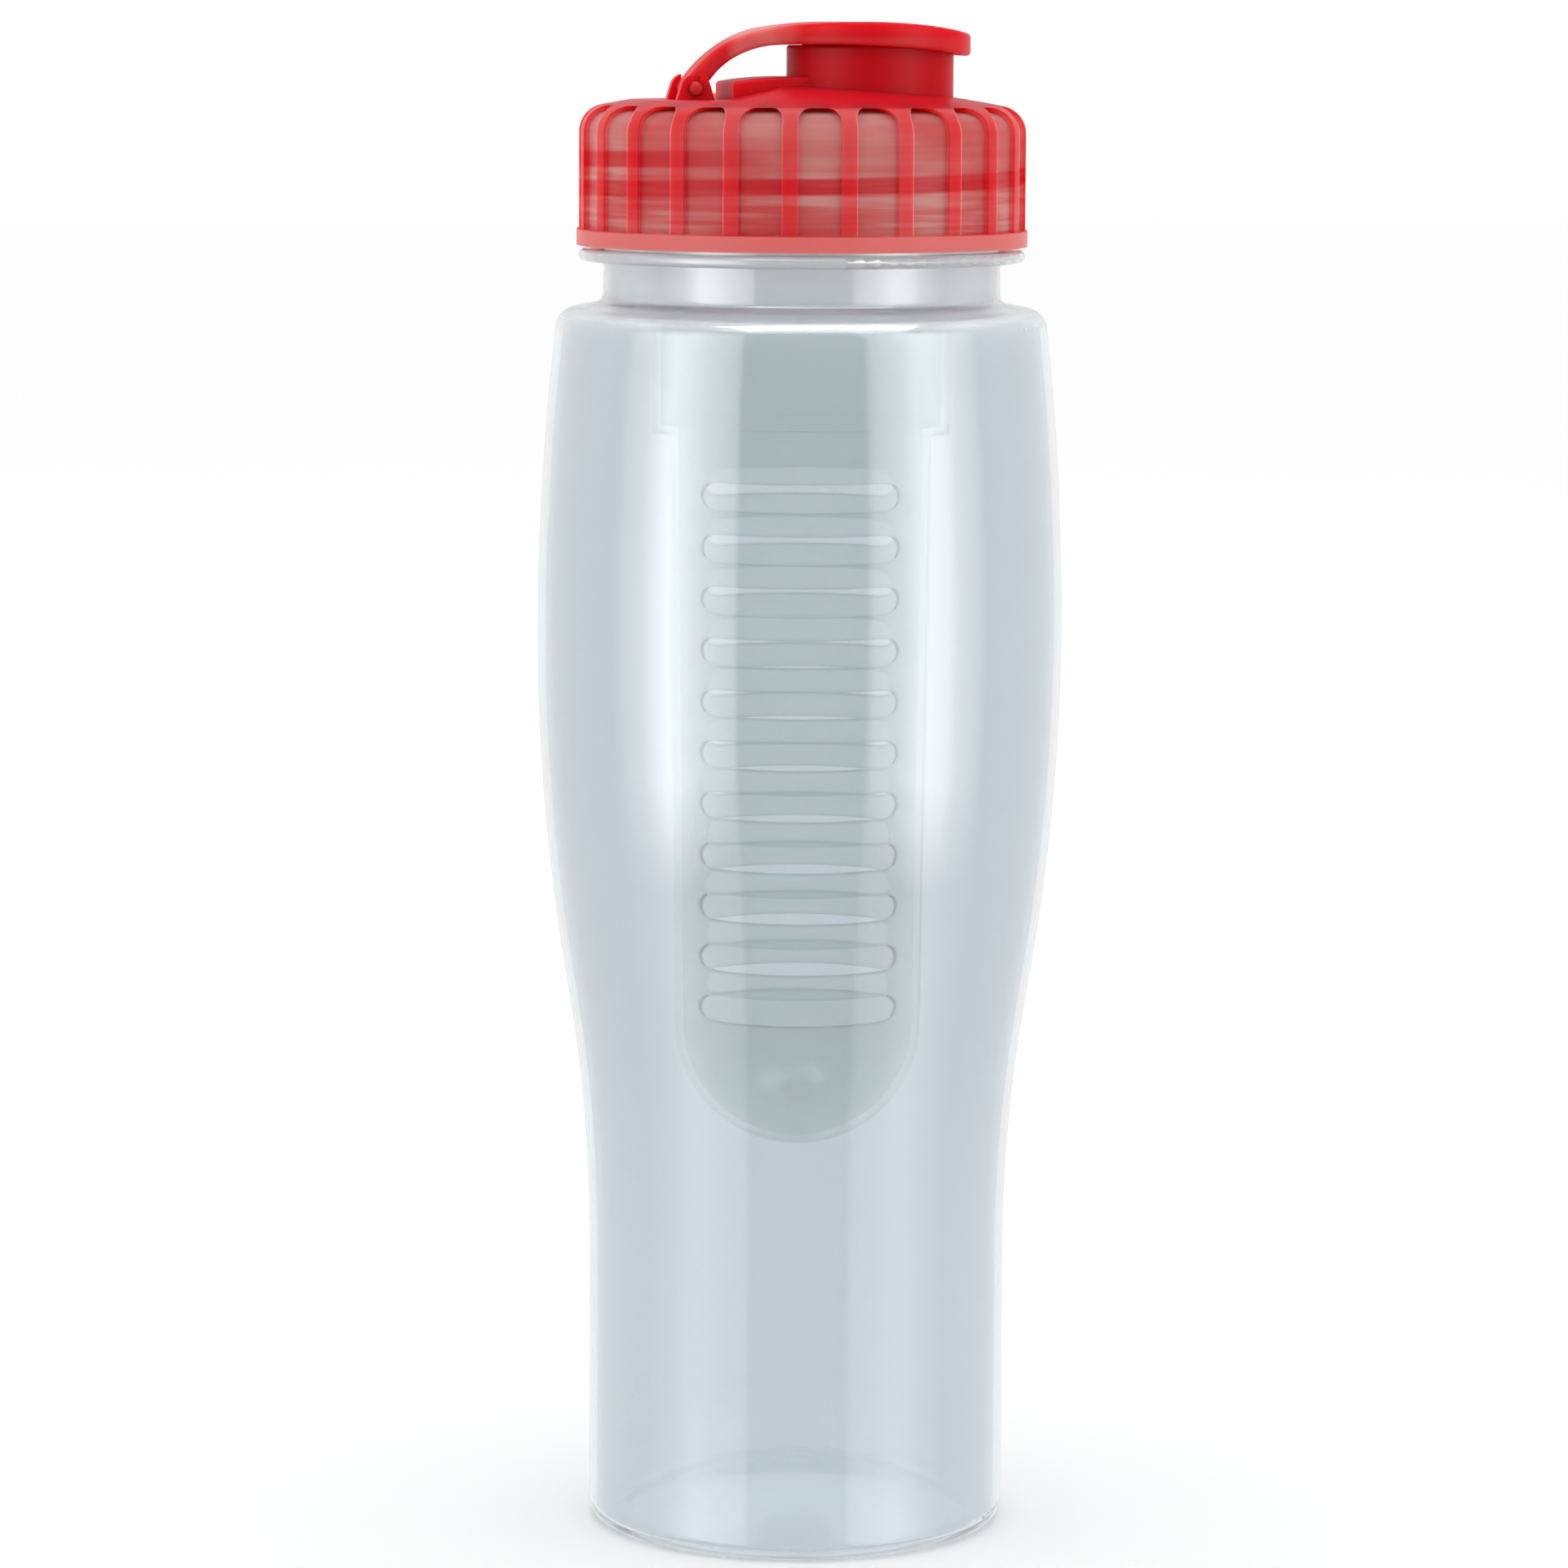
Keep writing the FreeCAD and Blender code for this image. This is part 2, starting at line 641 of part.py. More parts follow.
def add_ears(body):
    """Two snap ears with pin holes, open at the top, and room between them for the knuckle."""
    across, up = pivot
    foot = hinge_floor - s.floor_rise / 4
    reach = math.hypot(s.ear_foot.number, up.number - foot.number)
    lean = math.acos(s.ear_radius.number / reach) - math.atan2(up.number - foot.number, s.ear_foot.number)
    side = (s.ear_radius.number * math.cos(lean), up.number + s.ear_radius.number * math.sin(lean))
    ear = Outline(body, "ear_outline", "XZ_Plane", (across - s.ear_foot, foot))
    ear.line_to(across + s.ear_foot, foot)
    ear.line_to(across.number + side[0], side[1])
    ear.arc_to(across.number - side[0], side[1], centre=pivot, radius=s.ear_radius, smooth=True,
               long_way=lean < 0)
    ear.line_to(*ear.first_corner, smooth=True)
    extrude(body, "Pad", "ears", ear.close(), length=ear_span, symmetric=True)

    reach = s.ear_foot + s.ear_slot / 2
    gap = box_sketch(body, "ear_gap_outline", "XZ_Plane", (across - reach, hinge_floor),
                     (across + reach, up + s.ear_radius + s.overrun))
    extrude(body, "Pocket", "ear_gap", gap, length=s.ear_gap, symmetric=True)
    room = circle_sketch(body, "knuckle_room_outline", "XZ_Plane", pivot, s.knuckle_radius + s.knuckle_gap)
    extrude(body, "Pocket", "knuckle_room", room, length=s.ear_gap, symmetric=True)
    hole = circle_sketch(body, "pin_hole_outline", "XZ_Plane", pivot, s.pin_radius + s.pin_gap)
    extrude(body, "Pocket", "pin_hole", hole, length=ear_span + s.overrun, symmetric=True)
    slot = box_sketch(body, "snap_slot_outline", "XZ_Plane", (across - s.ear_slot / 2, up),
                      (across + s.ear_slot / 2, up + s.ear_radius + s.overrun))
    extrude(body, "Pocket", "snap_slot", slot, length=ear_span + s.overrun, symmetric=True)


def add_spout(body):
    """The drinking spout on the crown, with its bore through the roof and a rounded mouth."""
    middle = (s.spout_offset, ZERO)
    wall = circle_sketch(body, "spout_outline", "XY_Plane", middle, s.spout_radius)
    extrude(body, "Pad", "spout", lift(wall, hinge_floor), length=spout_top - hinge_floor)
    bore = circle_sketch(body, "spout_bore_outline", "XY_Plane", middle, spout_bore)
    bored = extrude(body, "Pocket", "spout_bore", bore, reverse=True)
    round_edges(body, "spout_round", bored, s.spout_round,
                lambda edge: is_circle(edge, s.spout_radius, spout_top)
                or is_circle(edge, spout_bore, spout_top))


def circles_meet(first, first_radius, second, second_radius, side):
    """One of the two points at given distances from two middles, on the side asked for."""
    span = (second[0] - first[0], second[1] - first[1])
    gap = math.hypot(*span)
    along = (first_radius ** 2 - second_radius ** 2 + gap ** 2) / (2 * gap)
    off = math.sqrt(first_radius ** 2 - along ** 2) * side
    way = (span[0] / gap, span[1] / gap)
    return first[0] + way[0] * along + way[1] * off, first[1] + way[1] * along - way[0] * off


def beyond(first, second, distance):
    """The point at a distance from the first middle, toward and past the second."""
    gap = math.hypot(second[0] - first[0], second[1] - first[1])
    step = distance / gap
    return first[0] + (second[0] - first[0]) * step, first[1] + (second[1] - first[1]) * step


def make_lid():
    """The flip lid: an arched plate and strap with a rim all round, a plug and two trunnions."""
    body = new_body("flip_lid")
    underside = spout_top + s.lid_gap
    end = s.spout_offset + s.lid_radius + s.overrun
    add_lid_plate(body, underside, end)
    trim_lid_plan(body, end, ZERO)
    round_lid(body)
    hollow_lid(body, underside, end)
    add_plug(body, underside)
    pin = circle_sketch(body, "pin_outline", "XZ_Plane", pivot, s.pin_radius)
    pins = extrude(body, "Pad", "trunnions", pin, length=ear_span + s.pin_stub * 2, symmetric=True)
    reach = ear_span.number / 2
    round_edges(body, "pin_round", pins, s.pin_round,
                lambda edge: is_circle(edge, s.pin_radius) and abs(edge.Curve.Center.y) > reach)
    return body


def lid_underside(underside):
    """The middles of the two arcs under the lid: the plate's, and the strap's tangent to it."""
    plate = (s.underside_offset.number, underside.number - s.underside_bow.number)
    knuckle = (pivot[0].number, pivot[1].number)
    strap = circles_meet(plate, s.underside_bow.number - s.strap_hollow.number,
                         knuckle, s.strap_hollow.number + s.knuckle_radius.number, side=1)
    return plate, strap


def height_on(middle, bow, across):
    """The height of an arc over its middle at a place across."""
    return middle[1] + math.sqrt(bow ** 2 - (across - middle[0]) ** 2)


def add_lid_plate(body, underside, end):
    """The lid from the side: arched plate, curved strap and knuckle."""
    knuckle = (pivot[0].number, pivot[1].number)
    crest = underside + s.lid_thickness
    crown = (s.lid_crest_offset.number, (crest - s.lid_bow).number)
    lid_bow, strap_bow, knuckle_radius = s.lid_bow.number, s.strap_bow.number, s.knuckle_radius.number
    strap = circles_meet(crown, lid_bow - strap_bow, knuckle, strap_bow - knuckle_radius, side=1)
    under, hollow = lid_underside(underside)

    plate = Outline(body, "plate_outline", "XZ_Plane",
                    (end, height_on(under, s.underside_bow.number, end.number)))
    plate.line_to(end, height_on(crown, lid_bow, end.number))
    plate.arc_to(*beyond(crown, strap, lid_bow), centre=(s.lid_crest_offset, crest - s.lid_bow),
                 radius=s.lid_bow)
    plate.arc_to(*beyond(strap, knuckle, strap_bow), centre=strap, radius=s.strap_bow, smooth=True)
    plate.arc_to(*beyond(knuckle, hollow, knuckle_radius), centre=pivot, radius=s.knuckle_radius,
                 smooth=True, long_way=True)
    plate.arc_to(*beyond(under, hollow, s.underside_bow.number), centre=hollow, radius=s.strap_hollow,
                 smooth=True)
    plate.arc_to(*plate.first_corner, centre=(s.underside_offset, underside - s.underside_bow),
                 radius=s.underside_bow, smooth=True)
    extrude(body, "Pad", "plate", plate.close(), length=s.lid_radius * 2 + s.overrun, symmetric=True)


def trim_lid_plan(body, end, inset):
    """Cut to the lid's plan, moved in by an inset: a disc, and a strap that tapers to the tongue."""
    half_tongue = s.ear_gap / 2 - s.strap_gap - inset
    disc_radius = s.lid_radius - inset
    flare_radius = s.strap_flare + inset
    flare_up = s.strap_width / 2 + s.strap_flare
    disc = (s.spout_offset.number, 0.0)
    span = s.lid_radius.number + s.strap_flare.number
    flare = (disc[0] - math.sqrt(span ** 2 - flare_up.number ** 2), flare_up.number)
    meet = beyond(disc, flare, disc_radius.number)
    shoulder = s.strap_shoulder - s.pivot_offset
    back = -s.pivot_offset - s.knuckle_radius - s.overrun
    bend_radius = s.strap_bend + inset
    bend = (shoulder.number, half_tongue.number + bend_radius.number)
    run = (flare[0] - bend[0], flare[1] - bend[1])
    slope = math.atan2(run[1], run[0]) - math.asin((flare_radius - bend_radius).number / math.hypot(*run))
    bend_end, flare_start = [(middle[0] + radius.number * math.sin(slope),
                              middle[1] - radius.number * math.cos(slope))
                             for middle, radius in ((bend, bend_radius), (flare, flare_radius))]

    plan = Outline(body, "plan_outline", "XY_Plane", (back, half_tongue))
    plan.line_to(shoulder, half_tongue)
    plan.arc_to(*bend_end, centre=bend, radius=bend_radius, smooth=True)
    plan.line_to(*flare_start, smooth=True)
    plan.arc_to(*meet, centre=(flare[0], flare_up), radius=flare_radius, smooth=True)
    plan.arc_to(meet[0], -meet[1], centre=(s.spout_offset, ZERO), radius=disc_radius, smooth=True,
                long_way=True)
    plan.arc_to(flare_start[0], -flare_start[1], centre=(flare[0], -flare_up), radius=flare_radius,
                smooth=True)
    plan.line_to(bend_end[0], -bend_end[1], smooth=True)
    plan.arc_to(shoulder, -half_tongue, centre=(bend[0], -bend[1]), radius=bend_radius, smooth=True)
    plan.line_to(back, -half_tongue, smooth=True)
    sketch = plan.close()
    edge = s.lid_radius + s.overrun
    corners = [(back - s.overrun, -edge), (end + s.overrun, -edge), (end + s.overrun, edge),
               (back - s.overrun, edge)]
    frame_outline(sketch, corners)
    extrude(body, "Pocket", "plan", sketch, reverse=True)


def round_lid(body):
    """Round the lid's edges where its plan meets its top, its strap, its knuckle and its underside."""
    plan = body.Tip
    level = FreeCAD.Vector(0, 1, 0)
    faces = [face for face in plan.Shape.Faces if isinstance(face.Surface, Part.Cylinder)
             and face.Surface.Axis.isParallel(level, 1e-6)]

    def on_rim(edge):
        return sum(any(edge.isSame(other) for other in face.Edges) for face in faces) == 1

    round_edges(body, "lid_round", plan, s.lid_round, on_rim)


def hollow_lid(body, underside, end):
    """Cut the underside away inside a rim that runs round the disc and along the strap."""
    under, strap = lid_underside(underside)
    plate_bow = s.underside_bow + s.rim_drop
    strap_bow = s.strap_hollow + s.rim_drop
    foot = underside - s.lid_thickness

    room = new_body("lid_room")
    side = Outline(room, "room_outline", "XZ_Plane", (end, foot))
    side.line_to(end, height_on(under, plate_bow.number, end.number))
    side.arc_to(*beyond(under, strap, plate_bow.number), radius=plate_bow,
                centre=(s.underside_offset, underside - s.underside_bow))
    side.arc_to(s.channel_offset - s.pivot_offset, foot, centre=strap, radius=strap_bow, smooth=True)
    extrude(room, "Pad", "room", side.close(), length=s.lid_radius * 2, symmetric=True)
    trim_lid_plan(room, end, s.rim_wall)

    hollow = body.newObject("PartDesign::Boolean", "hollow")
    hollow.setObjects([room])
    hollow.Type = "Cut"
    body.Tip = hollow
    doc.recompute()


def frame_outline(sketch, corners):
    """Add a closed run of lines round an outline, so that what lies between them is cut."""
    lines = []
    for begin, end in zip(corners, corners[1:] + corners[:1]):
        lines.append(sketch.addGeometry(Part.LineSegment(vector_of(begin), vector_of(end)), False))
    for line, following in zip(lines, lines[1:] + lines[:1]):
        sketch.addConstraint(Sketcher.Constraint("Coincident", line, END, following, START))
    for line, corner in zip(lines, corners):
        for value, kind in zip(corner, ("DistanceX", "DistanceY")):
            bind(sketch, Sketcher.Constraint(kind, line, START, value.number), value)


def add_plug(body, underside):
    """The hollow plug that closes the spout, narrower at its foot so that it swings clear."""
    outer = spout_bore - s.plug_gap
    foot = outer - s.plug_taper
    low = underside - s.plug_depth
    high = underside + s.rim_drop + s.plug_wall / 4
    middle = s.spout_offset
    ring = Outline(body, "plug_outline", "XZ_Plane", (middle + foot - s.plug_wall, low))
    ring.line_to(middle + foot, low)
    ring.line_to(middle + outer, underside)
    ring.line_to(middle + outer, high)
    ring.line_to(middle + outer - s.plug_wall, high)
    ring.line_to(middle + outer - s.plug_wall, underside)
    sketch = ring.close()
    axis = Part.LineSegment(vector_of((middle, low)), vector_of((middle, high)))
    index = sketch.addGeometry(axis, True)
    for point, value in ((START, low), (END, high)):
        bind(sketch, Sketcher.Constraint("DistanceX", index, point, middle.number), middle)
        bind(sketch, Sketcher.Constraint("DistanceY", index, point, value.number), value)
    turn(body, "Revolution", "plug", sketch, axis="Axis0")


def check_document():
    """Stop unless every object was computed and every sketch is fully constrained."""
    for thing in doc.Objects:
        if "Invalid" in thing.State or "Error" in thing.State:
            raise RuntimeError(f"{thing.Name} failed: {thing.State}")
        if thing.TypeId == "Sketcher::SketchObject" and not thing.FullyConstrained:
            raise RuntimeError(f"{thing.Name} is not fully constrained")


def main():
    bodies = [make_bottle(), make_basket(), make_gasket(), make_cap(), make_lid()]
    doc.recompute()
    check_document()
    for body in bodies:
        shape = body.Shape
        if shape.isNull() or not shape.isValid() or len(shape.Solids) != 1:
            raise RuntimeError(f"{body.Label} is not one valid solid")
    os.makedirs("parts", exist_ok=True)
    for body in bodies:
        body.Shape.exportStep(f"parts/{body.Label}.step")
        box = body.Shape.optimalBoundingBox(False)
        print(f"{body.Label}: {body.Shape.Volume / 1000:.2f} ml of plastic,"
              f" z {box.ZMin:.2f} to {box.ZMax:.2f}, x {box.XMin:.2f} to {box.XMax:.2f}")


main()
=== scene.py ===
# %% [markdown]
# # Fruit infuser water bottle
#
# A clear waisted bottle with a ribbed red screw cap, a flip lid over a round spout and a slotted
# basket that hangs in the neck. The packed CAD part is the fixed frame, in metres, with z up and the
# bottle's axis on z. Its five solids stay as they are. This script gives them their plastics, adds the
# two threads that only the finished part shows, and sets up a camera, a floor and soft light.

# %% Load the frame
import math
from collections import namedtuple

import bpy
import numpy as np
from mathutils import Matrix, Vector


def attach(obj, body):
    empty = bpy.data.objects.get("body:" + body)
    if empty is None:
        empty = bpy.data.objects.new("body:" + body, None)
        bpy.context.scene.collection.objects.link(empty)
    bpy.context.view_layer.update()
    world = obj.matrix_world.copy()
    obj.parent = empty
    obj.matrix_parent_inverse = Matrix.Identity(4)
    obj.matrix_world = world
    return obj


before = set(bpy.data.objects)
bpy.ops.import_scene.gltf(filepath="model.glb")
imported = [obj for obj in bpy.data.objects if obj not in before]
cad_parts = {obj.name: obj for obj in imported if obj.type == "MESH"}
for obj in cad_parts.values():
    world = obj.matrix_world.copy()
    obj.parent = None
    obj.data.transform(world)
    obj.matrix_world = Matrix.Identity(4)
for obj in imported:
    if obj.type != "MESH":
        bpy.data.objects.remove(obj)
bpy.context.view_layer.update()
scene = bpy.context.scene
print("nodes:", sorted(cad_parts))

# %% [markdown]
# ## Camera
#
# The picture is square and taken with a long lens, level with the lid's top and turned down a little. A
# camera could be framed by eye, but this one was worked out from how far the round edges open, so that
# the outline falls where the picture has it. The lens follows from a focal length in pixels, so the
# same numbers serve any picture size.

# %% Place the camera
PICTURE_WIDTH = 1932.0
FOCAL_PIXELS = 7268.0
SENSOR_MM = 36.0
PITCH = math.radians(7.33)
AZIMUTH = math.radians(-11.8)
ROLL = math.radians(0.316)
CAMERA_DEPTH = 0.923036
AIM_HEIGHT = 0.11645
AIM_ASIDE = -0.0023

UP = Vector((0.0, 0.0, 1.0))
ahead = Vector((-math.sin(AZIMUTH), math.cos(AZIMUTH), 0.0))
right = Vector((math.cos(AZIMUTH), math.sin(AZIMUTH), 0.0))
forward = ahead * math.cos(PITCH) - UP * math.sin(PITCH)
lens = bpy.data.cameras.new("camera")
lens.sensor_width = SENSOR_MM
lens.lens = FOCAL_PIXELS / PICTURE_WIDTH * SENSOR_MM
camera = bpy.data.objects.new("camera", lens)
eye = UP * AIM_HEIGHT - forward * CAMERA_DEPTH + right * AIM_ASIDE
turn = Matrix((right, right.cross(forward), -forward)).transposed().to_4x4()
camera.matrix_world = Matrix.Translation(eye) @ turn @ Matrix.Rotation(ROLL, 4, "Z")
scene.collection.objects.link(camera)
scene.camera = camera
print("eye:", [round(v, 4) for v in eye], "lens:", round(lens.lens, 1), "mm")

# %% [markdown]
# ## Writing node trees
#
# Materials, the shared finish and the studio's light are all node trees. A small helper keeps each of
# them to a few readable lines: every call adds one step, wires its inputs and returns its output.

# %% A helper for node trees


class Tree:
    """Adds nodes to one tree; inputs are sockets to link or plain numbers to set."""

    # A mix node has sockets for each kind of data. These are the places of its colour sockets.
    MIX_FACTOR, MIX_FIRST, MIX_SECOND, MIX_RESULT = 0, 6, 7, 2

    def __init__(self, tree):
        self.tree = tree

    def node(self, kind, **settings):
        """Add a node and set its own properties."""
        made = self.tree.nodes.new(kind)
        for name, value in settings.items():
            setattr(made, name, value)
        return made

    def feed(self, socket, value):
        """Link a socket into another, or set a plain value."""
        if isinstance(value, bpy.types.NodeSocket):
            self.tree.links.new(value, socket)
        else:
            socket.default_value = value

    def math(self, operation, *values):
        """One arithmetic step."""
        made = self.node("ShaderNodeMath", operation=operation)
        for socket, value in zip(made.inputs, values):
            self.feed(socket, value)
        return made.outputs["Value"]

    def excess(self, value, limit):
        """How far a value lies past a limit, or zero."""
        return self.math("MAXIMUM", self.math("SUBTRACT", value, limit), 0.0)

    def diagonal(self, first, second):
        """The square root of the sum of two squares."""
        squares = [self.math("MULTIPLY", side, side) for side in (first, second)]
        return self.math("SQRT", self.math("ADD", *squares))

    def axes(self, vector):
        """The x, y and z of a vector."""
        made = self.node("ShaderNodeSeparateXYZ")
        self.feed(made.inputs["Vector"], vector)
        return tuple(made.outputs)

    def cosine(self, vector, axis):
        """How far a direction points along a fixed axis."""
        made = self.node("ShaderNodeVectorMath", operation="DOT_PRODUCT")
        self.feed(made.inputs[0], vector)
        made.inputs[1].default_value = axis
        return made.outputs["Value"]

    def step(self, value, start, stop, low=0.0, high=1.0):
        """A smooth step from low to high while the value goes from start to stop."""
        made = self.node("ShaderNodeMapRange", interpolation_type="SMOOTHSTEP")
        entries = {"Value": value, "From Min": start, "From Max": stop, "To Min": low, "To Max": high}
        for name, entry in entries.items():
            self.feed(made.inputs[name], entry)
        return made.outputs["Result"]

    def ramp(self, value, stops):
        """A ramp of grey levels: (position, level) pairs joined by straight runs."""
        made = self.node("ShaderNodeValToRGB")
        points = made.color_ramp.elements
        while len(points) < len(stops):
            points.new(1.0)
        for point, (position, level) in zip(points, stops):
            point.position = position
            point.color = (level, level, level, 1.0)
        self.feed(made.inputs["Fac"], value)
        return made.outputs["Color"]

    def blend(self, factor, first, second):
        """Mix two colours."""
        made = self.node("ShaderNodeMix", data_type="RGBA")
        self.feed(made.inputs[self.MIX_FACTOR], factor)
        self.feed(made.inputs[self.MIX_FIRST], first)
        self.feed(made.inputs[self.MIX_SECOND], second)
        return made.outputs[self.MIX_RESULT]

    def noise(self, vector, scale, detail):
        """Soft cloud noise from 0 to 1, at a scale per metre."""
        made = self.node("ShaderNodeTexNoise")
        self.feed(made.inputs["Vector"], vector)
        made.inputs["Scale"].default_value = scale
        made.inputs["Detail"].default_value = detail
        return made.outputs["Fac"]


def rgba(red, green, blue):
    """A solid colour."""
    return (red, green, blue, 1.0)


print("helper steps:", [name for name in vars(Tree) if name.islower() and not name.startswith("_")])

# %% [markdown]
# ## A finish that the moulded pieces share
#
# Every piece here is moulded plastic. A polished mould still leaves slow waves in the gloss and a faint
# unevenness in the skin. Each material could have its own noise, but one node group that makes both from
# the object's own coordinates keeps them alike, and each material sets how rough the skin is.

# %% The moulded finish
WAVE_SCALE = 38.0
WAVE_RANGE = (0.3, 0.7)
SKIN_SCALE = 420.0
SKIN_SHARE = 0.2
BUMP_DEPTH = 0.0003


def moulded_finish():
    """A group that gives a roughness between two limits and a height for a bump."""
    group = bpy.data.node_groups.new("moulded_finish", "ShaderNodeTree")
    group.interface.new_socket("Place", in_out="INPUT", socket_type="NodeSocketVector")
    for name in ("Smooth", "Rough"):
        group.interface.new_socket(name, in_out="INPUT", socket_type="NodeSocketFloat")
    for name in ("Roughness", "Height"):
        group.interface.new_socket(name, in_out="OUTPUT", socket_type="NodeSocketFloat")
    tree = Tree(group)
    given = tree.node("NodeGroupInput").outputs
    made = tree.node("NodeGroupOutput").inputs
    waves = tree.noise(given["Place"], WAVE_SCALE, 2.0)
    skin = tree.noise(given["Place"], SKIN_SCALE, 3.0)
    tree.feed(made["Roughness"], tree.step(waves, *WAVE_RANGE, given["Smooth"], given["Rough"]))
    tree.feed(made["Height"], tree.math("MULTIPLY_ADD", skin, SKIN_SHARE, waves))
    return group


MOULDED = moulded_finish()
print(MOULDED.name, "has", len(MOULDED.nodes), "nodes")

# %% Building and putting on a plastic
Plastic = namedtuple("Plastic", "material tree shader place finish relief")


def plastic(name, smooth, rough, bump, **settings):
    """A Principled plastic with the moulded finish, and the nodes that a piece may add to."""
    material = bpy.data.materials.new(name)
    material.use_nodes = True
    tree = Tree(material.node_tree)
    shader = material.node_tree.nodes["Principled BSDF"]
    for label, value in settings.items():
        shader.inputs[label.replace("_", " ")].default_value = value
    place = tree.node("ShaderNodeTexCoord").outputs["Object"]
    finish = tree.node("ShaderNodeGroup", node_tree=MOULDED)
    tree.feed(finish.inputs["Place"], place)
    finish.inputs["Smooth"].default_value = smooth
    finish.inputs["Rough"].default_value = rough
    relief = tree.node("ShaderNodeBump")
    relief.inputs["Strength"].default_value = bump
    relief.inputs["Distance"].default_value = BUMP_DEPTH
    tree.feed(relief.inputs["Height"], finish.outputs["Height"])
    tree.feed(shader.inputs["Roughness"], finish.outputs["Roughness"])
    tree.feed(shader.inputs["Normal"], relief.outputs["Normal"])
    return Plastic(material, tree, shader, place, finish, relief)


def polar(tree, place):
    """Radius, angle and height of a point about the bottle's axis, in metres and radians."""
    x, y, z = tree.axes(place)
    return tree.diagonal(x, y), tree.math("ARCTAN2", y, x), z


def dress(name, material):
    """Put a material in every slot of a CAD node."""
    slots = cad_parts[name].data.materials
    if not slots:
        slots.append(material)
    for index in range(len(slots)):
        slots[index] = material
    print(name, "wears", material.name)


print("a plastic gives:", ", ".join(Plastic._fields))

# %% [markdown]
# ## Bottle
#
# The bottle is blown from a clear plastic with a slightly milky, blue-grey body and a gloss skin. The
# neck is paler and hazier, and two fine lines, half a turn apart, show where the mould's halves met. A
# clear plastic could be a volume, but a thin shell needs no more than a tint at each wall, so it is a
# glass-like shader whose small opaque share gives the haze. Its two faces nearly undo each other's
# bending of light, so its index is low, and a coat with a plastic's index gives the gloss.

# %% Bottle plastic
BOTTLE_THIN = rgba(0.822, 0.868, 0.902)
BOTTLE_THICK = rgba(0.792, 0.848, 0.890)
BOTTLE_NECK = rgba(0.93, 0.955, 0.98)
BOTTLE_CLOUD_SCALE = 14.0
NECK_FOOT = 0.190
NECK_BLEND = 0.004
NECK_HAZE = 0.6

bottle = plastic("milky_copolyester", smooth=0.035, rough=0.07, bump=0.05, IOR=1.10,
                 Transmission_Weight=0.83, Coat_Weight=1.0, Coat_Roughness=0.05, Coat_IOR=1.57)
tree, inputs = bottle.tree, bottle.shader.inputs
radius, angle, height = polar(tree, bottle.place)
cloud = tree.noise(bottle.place, BOTTLE_CLOUD_SCALE, 1.0)
neck = tree.step(height, NECK_FOOT - NECK_BLEND, NECK_FOOT + NECK_BLEND)
body = tree.blend(cloud, BOTTLE_THIN, BOTTLE_THICK)
tree.feed(inputs["Base Color"], tree.blend(neck, body, BOTTLE_NECK))
haze = tree.math("MULTIPLY", neck, NECK_HAZE)
tree.feed(inputs["Roughness"], tree.math("MAXIMUM", bottle.finish.outputs["Roughness"], haze))
print("bottle tint:", BOTTLE_THIN[:3], "to", BOTTLE_THICK[:3])

# %% Mould seam
SEAM_ANGLE = math.radians(-167.3)
SEAM_HALF_WIDTH = 0.0002
SEAM_HEIGHT = 2.5
QUARTER_TURN = math.pi / 2

from_seam = tree.math("SUBTRACT", angle, SEAM_ANGLE)
from_seam = tree.math("WRAP", from_seam, QUARTER_TURN, -QUARTER_TURN)
off_seam = tree.math("ABSOLUTE", tree.math("MULTIPLY", from_seam, radius))
seam = tree.step(off_seam, 0.0, SEAM_HALF_WIDTH, SEAM_HEIGHT, 0.0)
tree.feed(bottle.relief.inputs["Height"], tree.math("ADD", bottle.finish.outputs["Height"], seam))
dress("bottle_body", bottle.material)

# %% [markdown]
# ## Basket
#
# The basket is injection moulded in a clear plastic with a grey-green cast. The eleven slots have rounded
# edges, which look darker than the wall because they bend the light away. They could be modelled finer,
# but here that darkness is painted shade: a darker tint that follows the distance to a slot's edge, where
# a slot is a bar with round ends. The upper edges, which the camera looks down on, get less of it.

# %% Where a slot's edge runs
BASKET_TURN = math.radians(-11.8)
SLOT_COUNT = 11
SLOT_LOWEST = 0.0832
SLOT_PITCH = 0.00795
SLOT_RADIUS = 0.0021
SLOT_STRAIGHT = 0.0127
SLOT_SHADE_WIDTH = 0.0005
UPPER_EDGE_SHADE = 0.5

basket = plastic("clear_basket_plastic", smooth=0.03, rough=0.06, bump=0.05, IOR=1.45,
                 Transmission_Weight=0.97)
tree = basket.tree
across = tree.cosine(basket.place, (math.cos(BASKET_TURN), math.sin(BASKET_TURN), 0.0))
height = tree.axes(basket.place)[2]
row = tree.math("DIVIDE", tree.math("SUBTRACT", height, SLOT_LOWEST), SLOT_PITCH)
row = tree.math("MAXIMUM", tree.math("ROUND", row), 0.0)
row = tree.math("MINIMUM", row, SLOT_COUNT - 1.0)
rise = tree.math("SUBTRACT", height, tree.math("MULTIPLY_ADD", row, SLOT_PITCH, SLOT_LOWEST))
reach = tree.diagonal(tree.excess(tree.math("ABSOLUTE", across), SLOT_STRAIGHT), rise)
off_edge = tree.math("ABSOLUTE", tree.math("SUBTRACT", reach, SLOT_RADIUS))
# painted shade, darkest on a slot's edge and fading out half a millimetre from it
edge_shade = tree.step(off_edge, 0.0, SLOT_SHADE_WIDTH, 1.0, 0.0)
# the upper edges, seen from above, get only part of the painted shade
edge_shade = tree.math("MULTIPLY", edge_shade, tree.step(rise, -SLOT_RADIUS, SLOT_RADIUS, 1.0, UPPER_EDGE_SHADE))
print(SLOT_COUNT, "slots, the lowest at z", SLOT_LOWEST)

